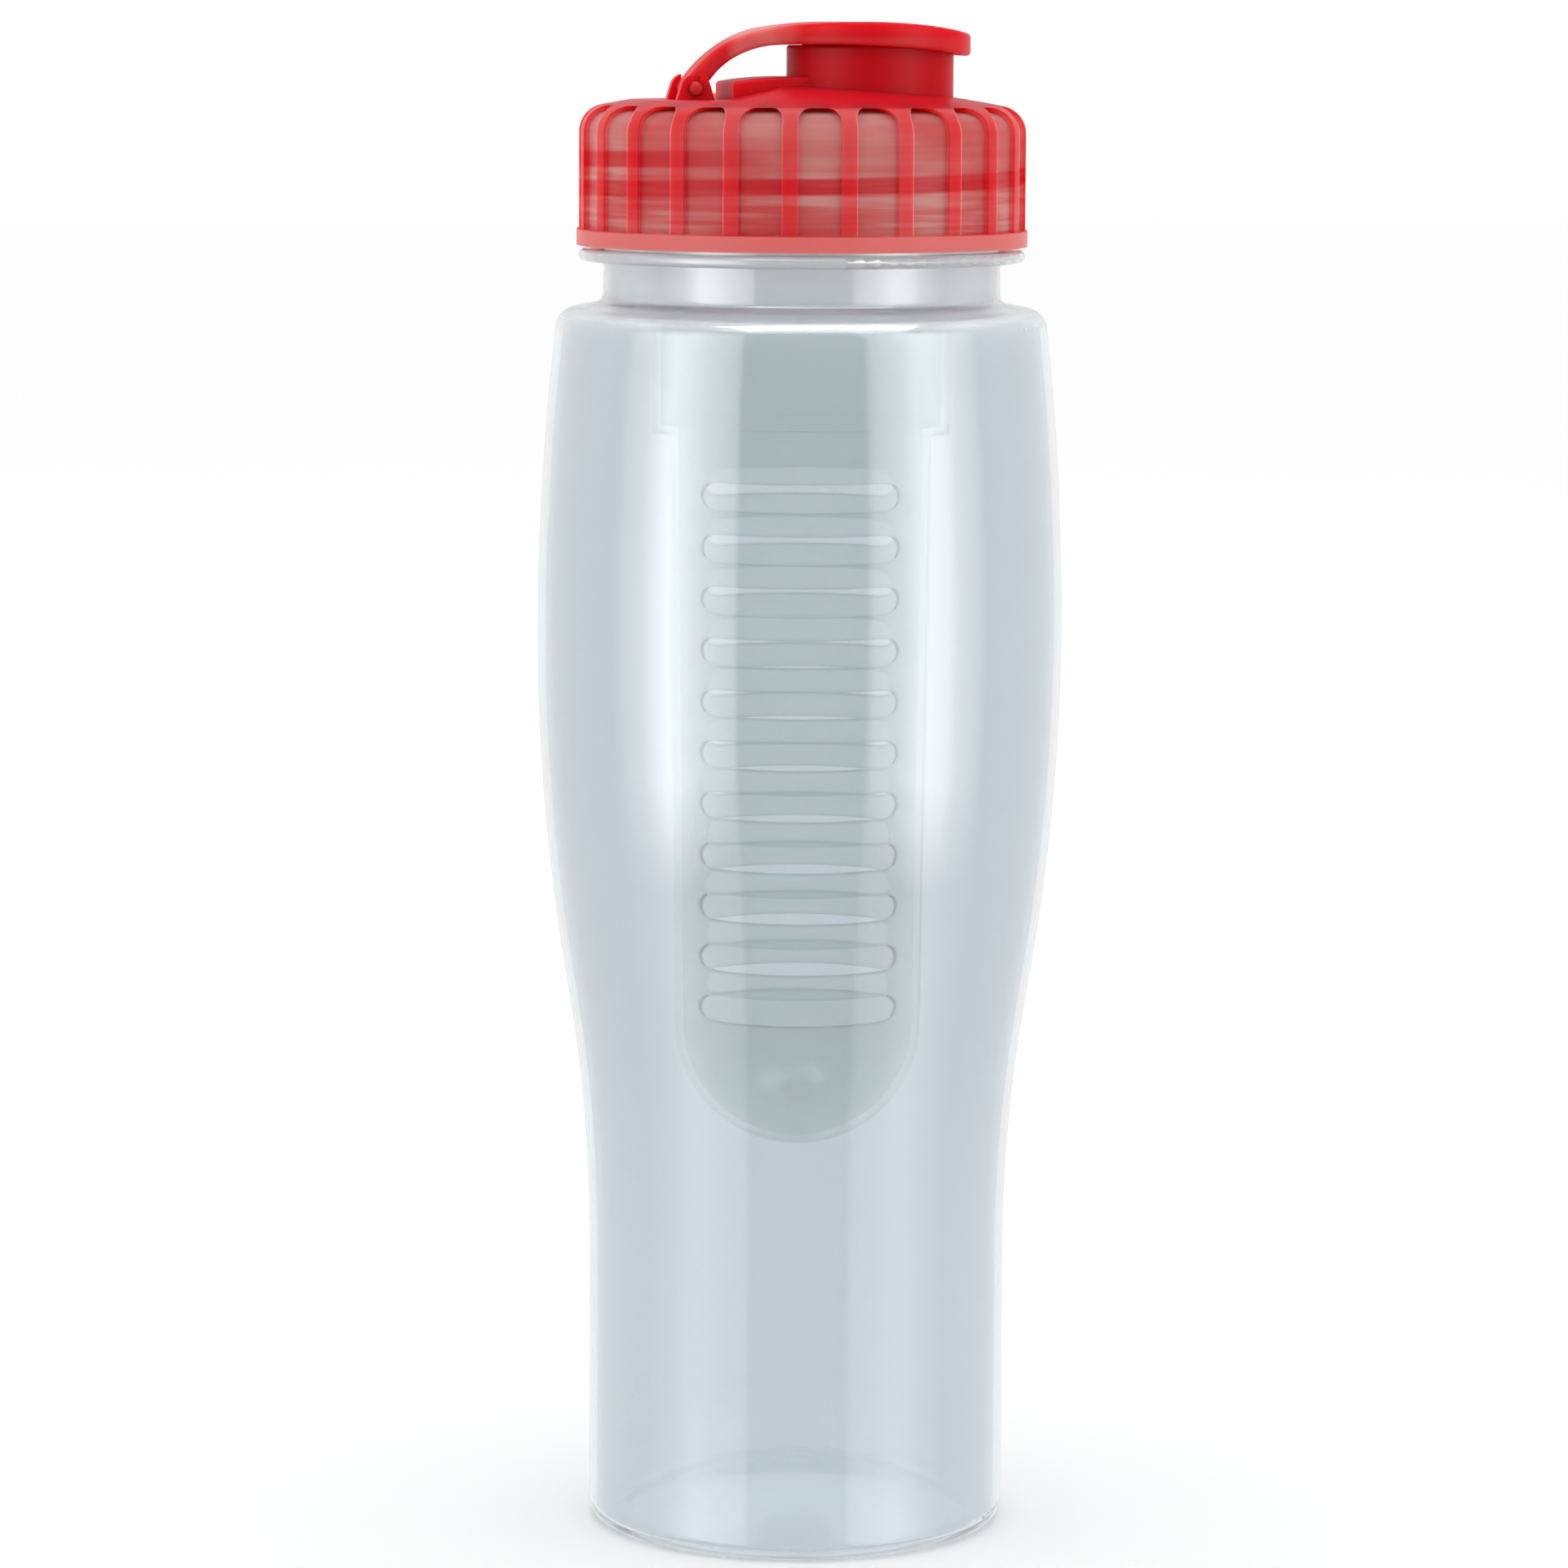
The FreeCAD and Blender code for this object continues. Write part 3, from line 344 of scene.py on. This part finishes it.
# %% Basket colour
BASKET_THIN = rgba(0.74, 0.815, 0.775)
BASKET_THICK = rgba(0.70, 0.785, 0.74)
# painted shade along the slots' edges
BASKET_EDGE_SHADE = rgba(0.40, 0.54, 0.48)
BASKET_COLLAR = rgba(0.90, 0.93, 0.925)
BASKET_CLOUD_SCALE = 20.0
COLLAR_FOOT = 0.190
COLLAR_BLEND = 0.003

wall = tree.blend(tree.noise(basket.place, BASKET_CLOUD_SCALE, 1.0), BASKET_THIN, BASKET_THICK)
collar = tree.step(height, COLLAR_FOOT - COLLAR_BLEND, COLLAR_FOOT + COLLAR_BLEND)
wall = tree.blend(collar, wall, BASKET_COLLAR)
# the wall's tint with the painted edge shade laid over it
tree.feed(basket.shader.inputs["Base Color"], tree.blend(edge_shade, wall, BASKET_EDGE_SHADE))
dress("infuser_basket", basket.material)

# %% [markdown]
# ## Gasket
#
# The gasket is a soft white silicone ring with a dull skin. The cap hides it, so it needs no more than a
# rougher finish and two close whites in a fine cloud.

# %% Gasket silicone
SILICONE_PALE = rgba(0.86, 0.87, 0.86)
SILICONE_DULL = rgba(0.78, 0.79, 0.78)
SILICONE_CLOUD_SCALE = 120.0

gasket = plastic("gasket_silicone", smooth=0.45, rough=0.6, bump=0.15, Transmission_Weight=0.25)
tree = gasket.tree
cloud = tree.noise(gasket.place, SILICONE_CLOUD_SCALE, 3.0)
tree.feed(gasket.shader.inputs["Base Color"], tree.blend(cloud, SILICONE_PALE, SILICONE_DULL))
dress("neck_gasket", gasket.material)

# %% [markdown]
# ## Cap
#
# Cap and lid are one translucent red plastic. Where the wall is thin, in the panels between the ribs and
# in the flange, white light gets through and the red turns pink. Where it is thick, at the ribs, the
# crown and along the thread inside, it stays deep. Real light through the wall could show that, but it
# would take a lit inside, so it is painted from the point's radius, height and angle.

# %% The red that cap and lid share
DEEP_RED = rgba(0.62, 0.003, 0.0115)
PINK = rgba(0.74, 0.275, 0.255)
RED_GLOW_RADIUS = (1.0, 0.12, 0.10)


def red_plastic(name):
    """The red plastic before its colour is painted."""
    made = plastic(name, smooth=0.32, rough=0.42, bump=0.08, IOR=1.45, Specular_IOR_Level=0.05,
                   Subsurface_Weight=1.0, Subsurface_Scale=0.008)
    made.shader.inputs["Subsurface Radius"].default_value = RED_GLOW_RADIUS
    return made


print("deep red", DEEP_RED[:3], "to pink", PINK[:3])

# %% Where the cap is thin
CORNER_RADIUS = 0.0302
CORNER_HEIGHT = 0.2178
PANEL_REACH = 0.00355
RIB_REACH = 0.0041
PANEL_PINK = 0.5
RIB_PINK = 0.18
PANEL_TOP = (0.2214, 0.2222)
CROWN_PINK = 0.05
PANEL_CLOUD_SCALE = 70.0
PANEL_CLOUD_RANGE = (0.35, 0.65)
PANEL_CLOUD_LEVELS = (0.8, 1.45)

cap = red_plastic("translucent_red_cap")
tree = cap.tree
radius, angle, height = polar(tree, cap.place)
reach = tree.diagonal(tree.excess(radius, CORNER_RADIUS), tree.excess(height, CORNER_HEIGHT))
thin = tree.step(reach, PANEL_REACH, RIB_REACH, PANEL_PINK, RIB_PINK)
thin = tree.math("MULTIPLY", thin, tree.step(height, *PANEL_TOP, 1.0, CROWN_PINK))
cloud = tree.noise(cap.place, PANEL_CLOUD_SCALE, 1.0)
thin = tree.math("MULTIPLY", thin, tree.step(cloud, *PANEL_CLOUD_RANGE, *PANEL_CLOUD_LEVELS))
print("panels from", PANEL_PINK, "pink to ribs of", RIB_PINK)

# %% Where the cap's thread darkens it
THREAD_PITCH = 0.0044
THREAD_FRONT = math.radians(-101.8)
CAP_THREAD_HEIGHT = 0.2103
RIDGE_EDGE = (0.22, 0.34)  # in pitches from the ridge's middle
RIDGE_START = (-0.9, -0.3)  # in turns from the front
RIDGE_END = (0.90, 1.02)
RIDGE_DEPTH = 0.75
TURNS_PER_RADIAN = 0.5 / math.pi

turn = tree.math("MULTIPLY_ADD", angle, TURNS_PER_RADIAN, -TURNS_PER_RADIAN * THREAD_FRONT)
turn = tree.math("WRAP", turn, 0.5, -0.5)
climb = tree.math("DIVIDE", tree.math("SUBTRACT", height, CAP_THREAD_HEIGHT), THREAD_PITCH)
wraps = tree.math("SUBTRACT", climb, turn)
wrap = tree.math("ROUND", wraps)
along = tree.math("ADD", turn, wrap)
ridge = tree.step(tree.math("ABSOLUTE", tree.math("SUBTRACT", wraps, wrap)), *RIDGE_EDGE, 1.0, 0.0)
ridge = tree.math("MULTIPLY", ridge, tree.step(along, *RIDGE_START))
ridge = tree.math("MULTIPLY", ridge, tree.step(along, *RIDGE_END, 1.0, 0.0))
print("thread seen from", RIDGE_START[0], "to", RIDGE_END[1], "turns")

# %% Cap colour
STREAK_SCALE = (40.0, 40.0, 900.0)
STREAK_RANGE = (0.35, 0.7)
STREAK_LEVELS = (-0.35, 0.7)
STREAK_FADE = 0.25
STREAK_FADE_RISE = 0.003
FLANGE_TOP = (0.2028, 0.2030)
FLANGE_PINK = 0.62

level = tree.node("ShaderNodeVectorMath", operation="MULTIPLY")
tree.feed(level.inputs[0], cap.place)
level.inputs[1].default_value = STREAK_SCALE
streaks = tree.step(tree.noise(level.outputs["Vector"], 1.0, 2.0), *STREAK_RANGE, *STREAK_LEVELS)
fade = tree.step(height, CAP_THREAD_HEIGHT, CAP_THREAD_HEIGHT + STREAK_FADE_RISE, 1.0, STREAK_FADE)
streaks = tree.math("ADD", tree.math("MULTIPLY", streaks, fade), 1.0)
streaks = tree.math("MULTIPLY", streaks, tree.math("MULTIPLY_ADD", ridge, -RIDGE_DEPTH, 1.0))
flange = tree.step(height, *FLANGE_TOP, FLANGE_PINK, 0.0)
pink = tree.math("MAXIMUM", tree.math("MULTIPLY", thin, streaks), flange)
tree.feed(cap.shader.inputs["Base Color"], tree.blend(pink, DEEP_RED, PINK))
dress("screw_cap", cap.material)

# %% [markdown]
# ## Lid
#
# The lid's disc is thick and deep red. Its rim and the thin strap to the hinge let more light through, so
# they are pinker. They are told apart by height and by the distance from the hinge, along x.

# %% Lid plastic
RIM_TOP = (0.2322, 0.2327)
RIM_PINK = 0.10
DISC_PINK = 0.02
STRAP_START = (-0.0135, -0.0105)
STRAP_END = (-0.007, -0.001)
STRAP_PINK = 0.7
LID_CLOUD_SCALE = 120.0
LID_CLOUD_RANGE = (0.3, 0.7)
LID_CLOUD_LEVELS = (0.7, 1.2)

lid = red_plastic("translucent_red_lid")
tree = lid.tree
x, _, z = tree.axes(lid.place)
rim = tree.step(z, *RIM_TOP, RIM_PINK, DISC_PINK)
strap = tree.math("MULTIPLY", tree.step(x, *STRAP_END, STRAP_PINK, 0.0), tree.step(x, *STRAP_START))
cloud = tree.step(tree.noise(lid.place, LID_CLOUD_SCALE, 2.0), *LID_CLOUD_RANGE, *LID_CLOUD_LEVELS)
pink = tree.math("MULTIPLY", tree.math("MAXIMUM", rim, strap), cloud)
tree.feed(lid.shader.inputs["Base Color"], tree.blend(pink, DEEP_RED, PINK))
dress("flip_lid", lid.material)

# %% [markdown]
# ## Threads
#
# The neck carries a right-hand thread of a little over two turns, and the cap a flatter one inside. A
# thread could be cut, but the moulded one is a rounded ridge that rises out of the wall and sinks into
# it again, so each is one grid surface swept along a helix and drawn in to a point at both ends.

# %% A ridge along a helix
RIDGE_ROWS = 420
RIDGE_POINTS = 24
RIDGE_FULLNESS = 0.7
RIDGE_WIDTH = 0.0021
RIDGE_TAPER = math.radians(50.0)


def helix_ridge(name, root, crest, front_height, first, last):
    """A thread ridge. With turn angle a from first to last, and p going once round the profile:

    swell  s(a) = sqrt(1 - (1 - e)^2), e = min(1, (a - first) / taper, (last - a) / taper)
    radius r = root + (crest - root) * s * max(0, sin p)^fullness
    height z = front_height + pitch * (a - front) / 2 pi + width / 2 * s * cos p
    point    = (r cos a, r sin a, z)
    """
    a = np.linspace(first, last, RIDGE_ROWS)[:, None]
    p = np.linspace(0.0, 2.0 * math.pi, RIDGE_POINTS, endpoint=False)[None, :]
    if crest > root:
        p = p[:, ::-1]  # an outward ridge runs the other way round, so that its faces point out of it
    e = np.clip(np.minimum(a - first, last - a) / RIDGE_TAPER, 0.0, 1.0)
    s = np.sqrt(1.0 - (1.0 - e) ** 2)
    r = root + (crest - root) * s * np.maximum(np.sin(p), 0.0) ** RIDGE_FULLNESS
    middle = front_height + THREAD_PITCH * (a - THREAD_FRONT) / (2.0 * math.pi)
    z = middle + RIDGE_WIDTH / 2.0 * s * np.cos(p)
    points = np.stack([r * np.cos(a), r * np.sin(a), z], axis=-1)
    inner = points[1:-1].reshape(-1, 3)
    ends = points[[0, -1], 0]
    index = np.arange(inner.shape[0]).reshape(RIDGE_ROWS - 2, RIDGE_POINTS)
    beside = np.roll(index, -1, axis=1)
    quads = np.stack([index[:-1], index[1:], beside[1:], beside[:-1]], axis=-1).reshape(-1, 4)
    start, stop = inner.shape[0], inner.shape[0] + 1
    head = np.stack([np.full(RIDGE_POINTS, start), index[0], beside[0]], axis=-1)
    tail = np.stack([np.full(RIDGE_POINTS, stop), beside[-1], index[-1]], axis=-1)
    faces = quads.tolist() + head.tolist() + tail.tolist()
    mesh = bpy.data.meshes.new(name)
    mesh.from_pydata(np.concatenate([inner, ends]).tolist(), [], faces)
    mesh.shade_smooth()
    piece = bpy.data.objects.new(name, mesh)
    scene.collection.objects.link(piece)
    print(name, len(faces), "faces, z", z.min().round(4), "to", z.max().round(4))
    return piece


# %% Neck thread
SKIN = 0.00002  # keeps a ridge's flat back just off the wall that carries it
NECK_RADIUS = 0.0307
NECK_CREST = 0.0317
NECK_THREAD_HEIGHT = CAP_THREAD_HEIGHT - THREAD_PITCH / 2
NECK_FIRST = THREAD_FRONT - math.radians(330.0)
NECK_LAST = THREAD_FRONT + math.radians(460.0)

neck_thread = helix_ridge("neck_thread", NECK_RADIUS + SKIN, NECK_CREST, NECK_THREAD_HEIGHT, NECK_FIRST,
                          NECK_LAST)
neck_thread.data.materials.append(bottle.material)
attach(neck_thread, "bottle")

# %% Cap thread
CAP_BORE = 0.0322
CAP_CREST = 0.03185
CAP_FIRST = THREAD_FRONT - math.radians(420.0)
CAP_LAST = THREAD_FRONT + math.radians(370.0)

cap_thread = helix_ridge("cap_thread", CAP_BORE - SKIN, CAP_CREST, CAP_THREAD_HEIGHT, CAP_FIRST, CAP_LAST)
cap_thread.data.materials.append(cap.material)
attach(cap_thread, "cap")

# %% [markdown]
# ## Floor
#
# A plain white floor takes the bottle's soft shadow and runs out into the white behind it. It is left
# out of reflections and of what is seen through the plastic, so the softboxes mirror down to the
# bottle's foot.

# %% Floor
WHITE = rgba(1.0, 1.0, 1.0)
FLOOR_HALF = 6.0
floor_mesh = bpy.data.meshes.new("floor")
corners = [(-FLOOR_HALF, -FLOOR_HALF), (FLOOR_HALF, -FLOOR_HALF), (FLOOR_HALF, FLOOR_HALF),
           (-FLOOR_HALF, FLOOR_HALF)]
floor_mesh.from_pydata([(x, y, 0.0) for x, y in corners], [], [(0, 1, 2, 3)])
floor = bpy.data.objects.new("floor", floor_mesh)
scene.collection.objects.link(floor)
paper = bpy.data.materials.new("floor_paper")
paper.use_nodes = True
inputs = paper.node_tree.nodes["Principled BSDF"].inputs
inputs["Base Color"].default_value = WHITE
inputs["Roughness"].default_value = 0.9
inputs["Specular IOR Level"].default_value = 0.0
floor_mesh.materials.append(paper)
floor.visible_glossy = False
floor.visible_transmission = False
print("floor:", FLOOR_HALF * 2, "m wide")

# %% [markdown]
# ## Softboxes
#
# The bottle's two long highlights are standing softboxes in front of it, left and right, brightest in
# their middle. They could be area lamps, but those have one level all over, so each is a card that glows
# by a profile. The cards only show in reflections and light nothing else, so that colours come out about
# as they are written.

# %% Softbox levels
CARD_DISTANCE = 0.36
CARD_LOW = -0.15
CARD_HIGH = 0.45
CARD_BEARING = 56.0
CARD_RADIANCE = 8.0
CARD_DIM = rgba(0.12, 0.12, 0.12)
# (height in metres, level)
CARD_UPRIGHT = ((CARD_LOW, 0.3), (-0.09, 0.3), (-0.05, 0.25), (-0.01, 0.2), (0.045, 1.0), (0.3, 1.0),
                (CARD_HIGH, 0.0))
# (degrees from the card's middle, level)
LEFT_PROFILE = ((-29, 0.12), (-14, 0.4), (-8, 0.66), (-1, 1.0), (6, 0.92), (17, 0.63), (28.5, 0.34),
                (31, 0.05))
RIGHT_PROFILE = ((-29, 0.05), (-25, 0.36), (-11, 0.68), (-6, 0.88), (1, 0.9), (8, 0.75), (14, 0.45),
                 (29, 0.12))
print("cards from z", CARD_LOW, "to", CARD_HIGH)

# %% Softboxes


def softbox(name, bearing, profile):
    """A glowing card at a bearing from the camera's side; the profile gives its level across."""
    angle = math.radians(bearing)
    out = right * math.sin(angle) - ahead * math.cos(angle)
    reach = math.tan(math.radians(max(abs(degrees) for degrees, level in profile)))
    across = UP.cross(out) * CARD_DISTANCE * reach
    foot, top = (out * CARD_DISTANCE + UP * z for z in (CARD_LOW, CARD_HIGH))
    mesh = bpy.data.meshes.new(name)
    mesh.from_pydata([foot - across, foot + across, top + across, top - across], [], [(0, 1, 2, 3)])
    mesh.uv_layers.new(name="card").data.foreach_set("uv", (0.0, 0.0, 1.0, 0.0, 1.0, 1.0, 0.0, 1.0))
    card = bpy.data.objects.new(name, mesh)
    card.visible_camera = False
    card.visible_diffuse = False
    card.visible_transmission = False
    card.visible_shadow = False
    scene.collection.objects.link(card)
    material = bpy.data.materials.new(name)
    material.use_nodes = True
    material.node_tree.nodes.clear()
    tree = Tree(material.node_tree)
    u, v, _ = tree.axes(tree.node("ShaderNodeTexCoord").outputs["UV"])
    level = tree.ramp(u, [(0.5 + 0.5 * math.tan(math.radians(degrees)) / reach, value)
                          for degrees, value in profile])
    upright = tree.ramp(v, [((z - CARD_LOW) / (CARD_HIGH - CARD_LOW), value)
                            for z, value in CARD_UPRIGHT])
    glow = tree.node("ShaderNodeEmission")
    tree.feed(glow.inputs["Color"], tree.blend(upright, CARD_DIM, level))
    glow.inputs["Strength"].default_value = CARD_RADIANCE
    tree.feed(tree.node("ShaderNodeOutputMaterial").inputs["Surface"], glow.outputs["Emission"])
    mesh.materials.append(material)
    print(name, "is", round(2.0 * across.length, 3), "m wide")


softbox("softbox_left", -CARD_BEARING, LEFT_PROFILE)
softbox("softbox_right", CARD_BEARING, RIGHT_PROFILE)

# %% [markdown]
# ## Overhead lights
#
# A broad lamp above gives the soft shadow. A second one, nearer the camera, is there for the bright line
# on the shoulder. It is kept off diffuse surfaces, as the softboxes are, so that it doesn't bleach the cap.

# %% Overhead lights
LAMP_AIM = UP * 0.2
OVERHEAD_PLACE = ahead * 0.2 + UP * 1.6
OVERHEAD_SIDE = 1.2
OVERHEAD_RADIANCE = 0.6
GLINT_PLACE = right * 0.1 - ahead * 0.32 + UP * 1.2
GLINT_WIDE = 1.3
GLINT_DEEP = 0.6
GLINT_RADIANCE = 7.0


def overhead(name, place, wide, deep, radiance):
    """A soft light that hangs above and faces the cap."""
    light = bpy.data.lights.new(name, "AREA")
    light.shape = "RECTANGLE"
    light.size = wide
    light.size_y = deep
    light.energy = radiance * math.pi * wide * deep
    lamp = bpy.data.objects.new(name, light)
    lamp.location = place
    lamp.rotation_euler = (LAMP_AIM - place).to_track_quat("-Z", "Y").to_euler()
    lamp.visible_camera = False
    scene.collection.objects.link(lamp)
    print(name, "gives", round(light.energy, 2), "W")
    return lamp


overhead("overhead", OVERHEAD_PLACE, OVERHEAD_SIDE, OVERHEAD_SIDE, OVERHEAD_RADIANCE)
glint = overhead("shoulder_glint", GLINT_PLACE, GLINT_WIDE, GLINT_DEEP, GLINT_RADIANCE)
glint.visible_diffuse = False

# %% [markdown]
# ## Room
#
# What a clear bottle shows is mostly the room around it. Its walls could be built, but a level for each
# bearing does the same: paler behind the bottle, darker on the camera's side and bright above. Only
# reflections and what is seen through the plastic use that room, and the latter gets some fill from the
# camera's side. Everything else is lit by an even white, so that a colour renders about as written.

# %% Room walls
# (degrees from the camera's side, level), mirrored left and right
WALLS = ((180, 0.8), (174, 0.82), (164, 1.04), (150, 1.02), (130, 0.9), (100, 0.9), (55, 0.8), (25, 0.4))
CEILING_START = 0.45
CEILING_FULL = 0.9
CEILING_LEVEL = 1.3
FRONT_HALF = math.radians(25.0)
FRONT_END = math.radians(60.0)
FRONT_FILL = 0.45

world = bpy.data.worlds.new("studio")
scene.world = world
world.use_nodes = True
world.node_tree.nodes.clear()
tree = Tree(world.node_tree)
way = tree.node("ShaderNodeTexCoord").outputs["Generated"]
bearing = tree.math("ARCTAN2", tree.cosine(way, right), tree.cosine(way, -ahead))
stops = [(-degrees, level) for degrees, level in WALLS] + list(reversed(WALLS))
walls = tree.ramp(tree.math("MULTIPLY_ADD", bearing, TURNS_PER_RADIAN, 0.5),
                  [(degrees / 360.0 + 0.5, level) for degrees, level in stops])
ceiling = tree.step(tree.cosine(way, UP), CEILING_START, CEILING_FULL, 0.0, CEILING_LEVEL)
path = tree.node("ShaderNodeLightPath").outputs
fill = tree.step(tree.math("ABSOLUTE", bearing), FRONT_HALF, FRONT_END, FRONT_FILL, 0.0)
fill = tree.math("MULTIPLY", fill, path["Is Transmission Ray"])
room = tree.node("ShaderNodeBackground")
room.inputs["Color"].default_value = WHITE
tree.feed(room.inputs["Strength"], tree.math("ADD", tree.math("ADD", walls, ceiling), fill))
print("room:", len(stops), "stops round the walls")

# %% What each kind of ray sees
EVEN_LEVEL = 0.98
BACKDROP_LEVEL = 1.0

even = tree.node("ShaderNodeBackground")
even.inputs["Color"].default_value = WHITE
tree.feed(even.inputs["Strength"],
          tree.step(path["Is Camera Ray"], 0.0, 1.0, EVEN_LEVEL, BACKDROP_LEVEL))
choose = tree.node("ShaderNodeMixShader")
seen = tree.math("MAXIMUM", path["Is Glossy Ray"], path["Is Transmission Ray"])
tree.feed(choose.inputs["Fac"], seen)
tree.feed(choose.inputs[1], even.outputs["Background"])
tree.feed(choose.inputs[2], room.outputs["Background"])
tree.feed(tree.node("ShaderNodeOutputWorld").inputs["Surface"], choose.outputs["Shader"])
scene.view_settings.view_transform = "Standard"
print("even light", EVEN_LEVEL, "and backdrop", BACKDROP_LEVEL)

# %% [markdown]
# ## Size
#
# The dressed part keeps the size of the CAD frame.
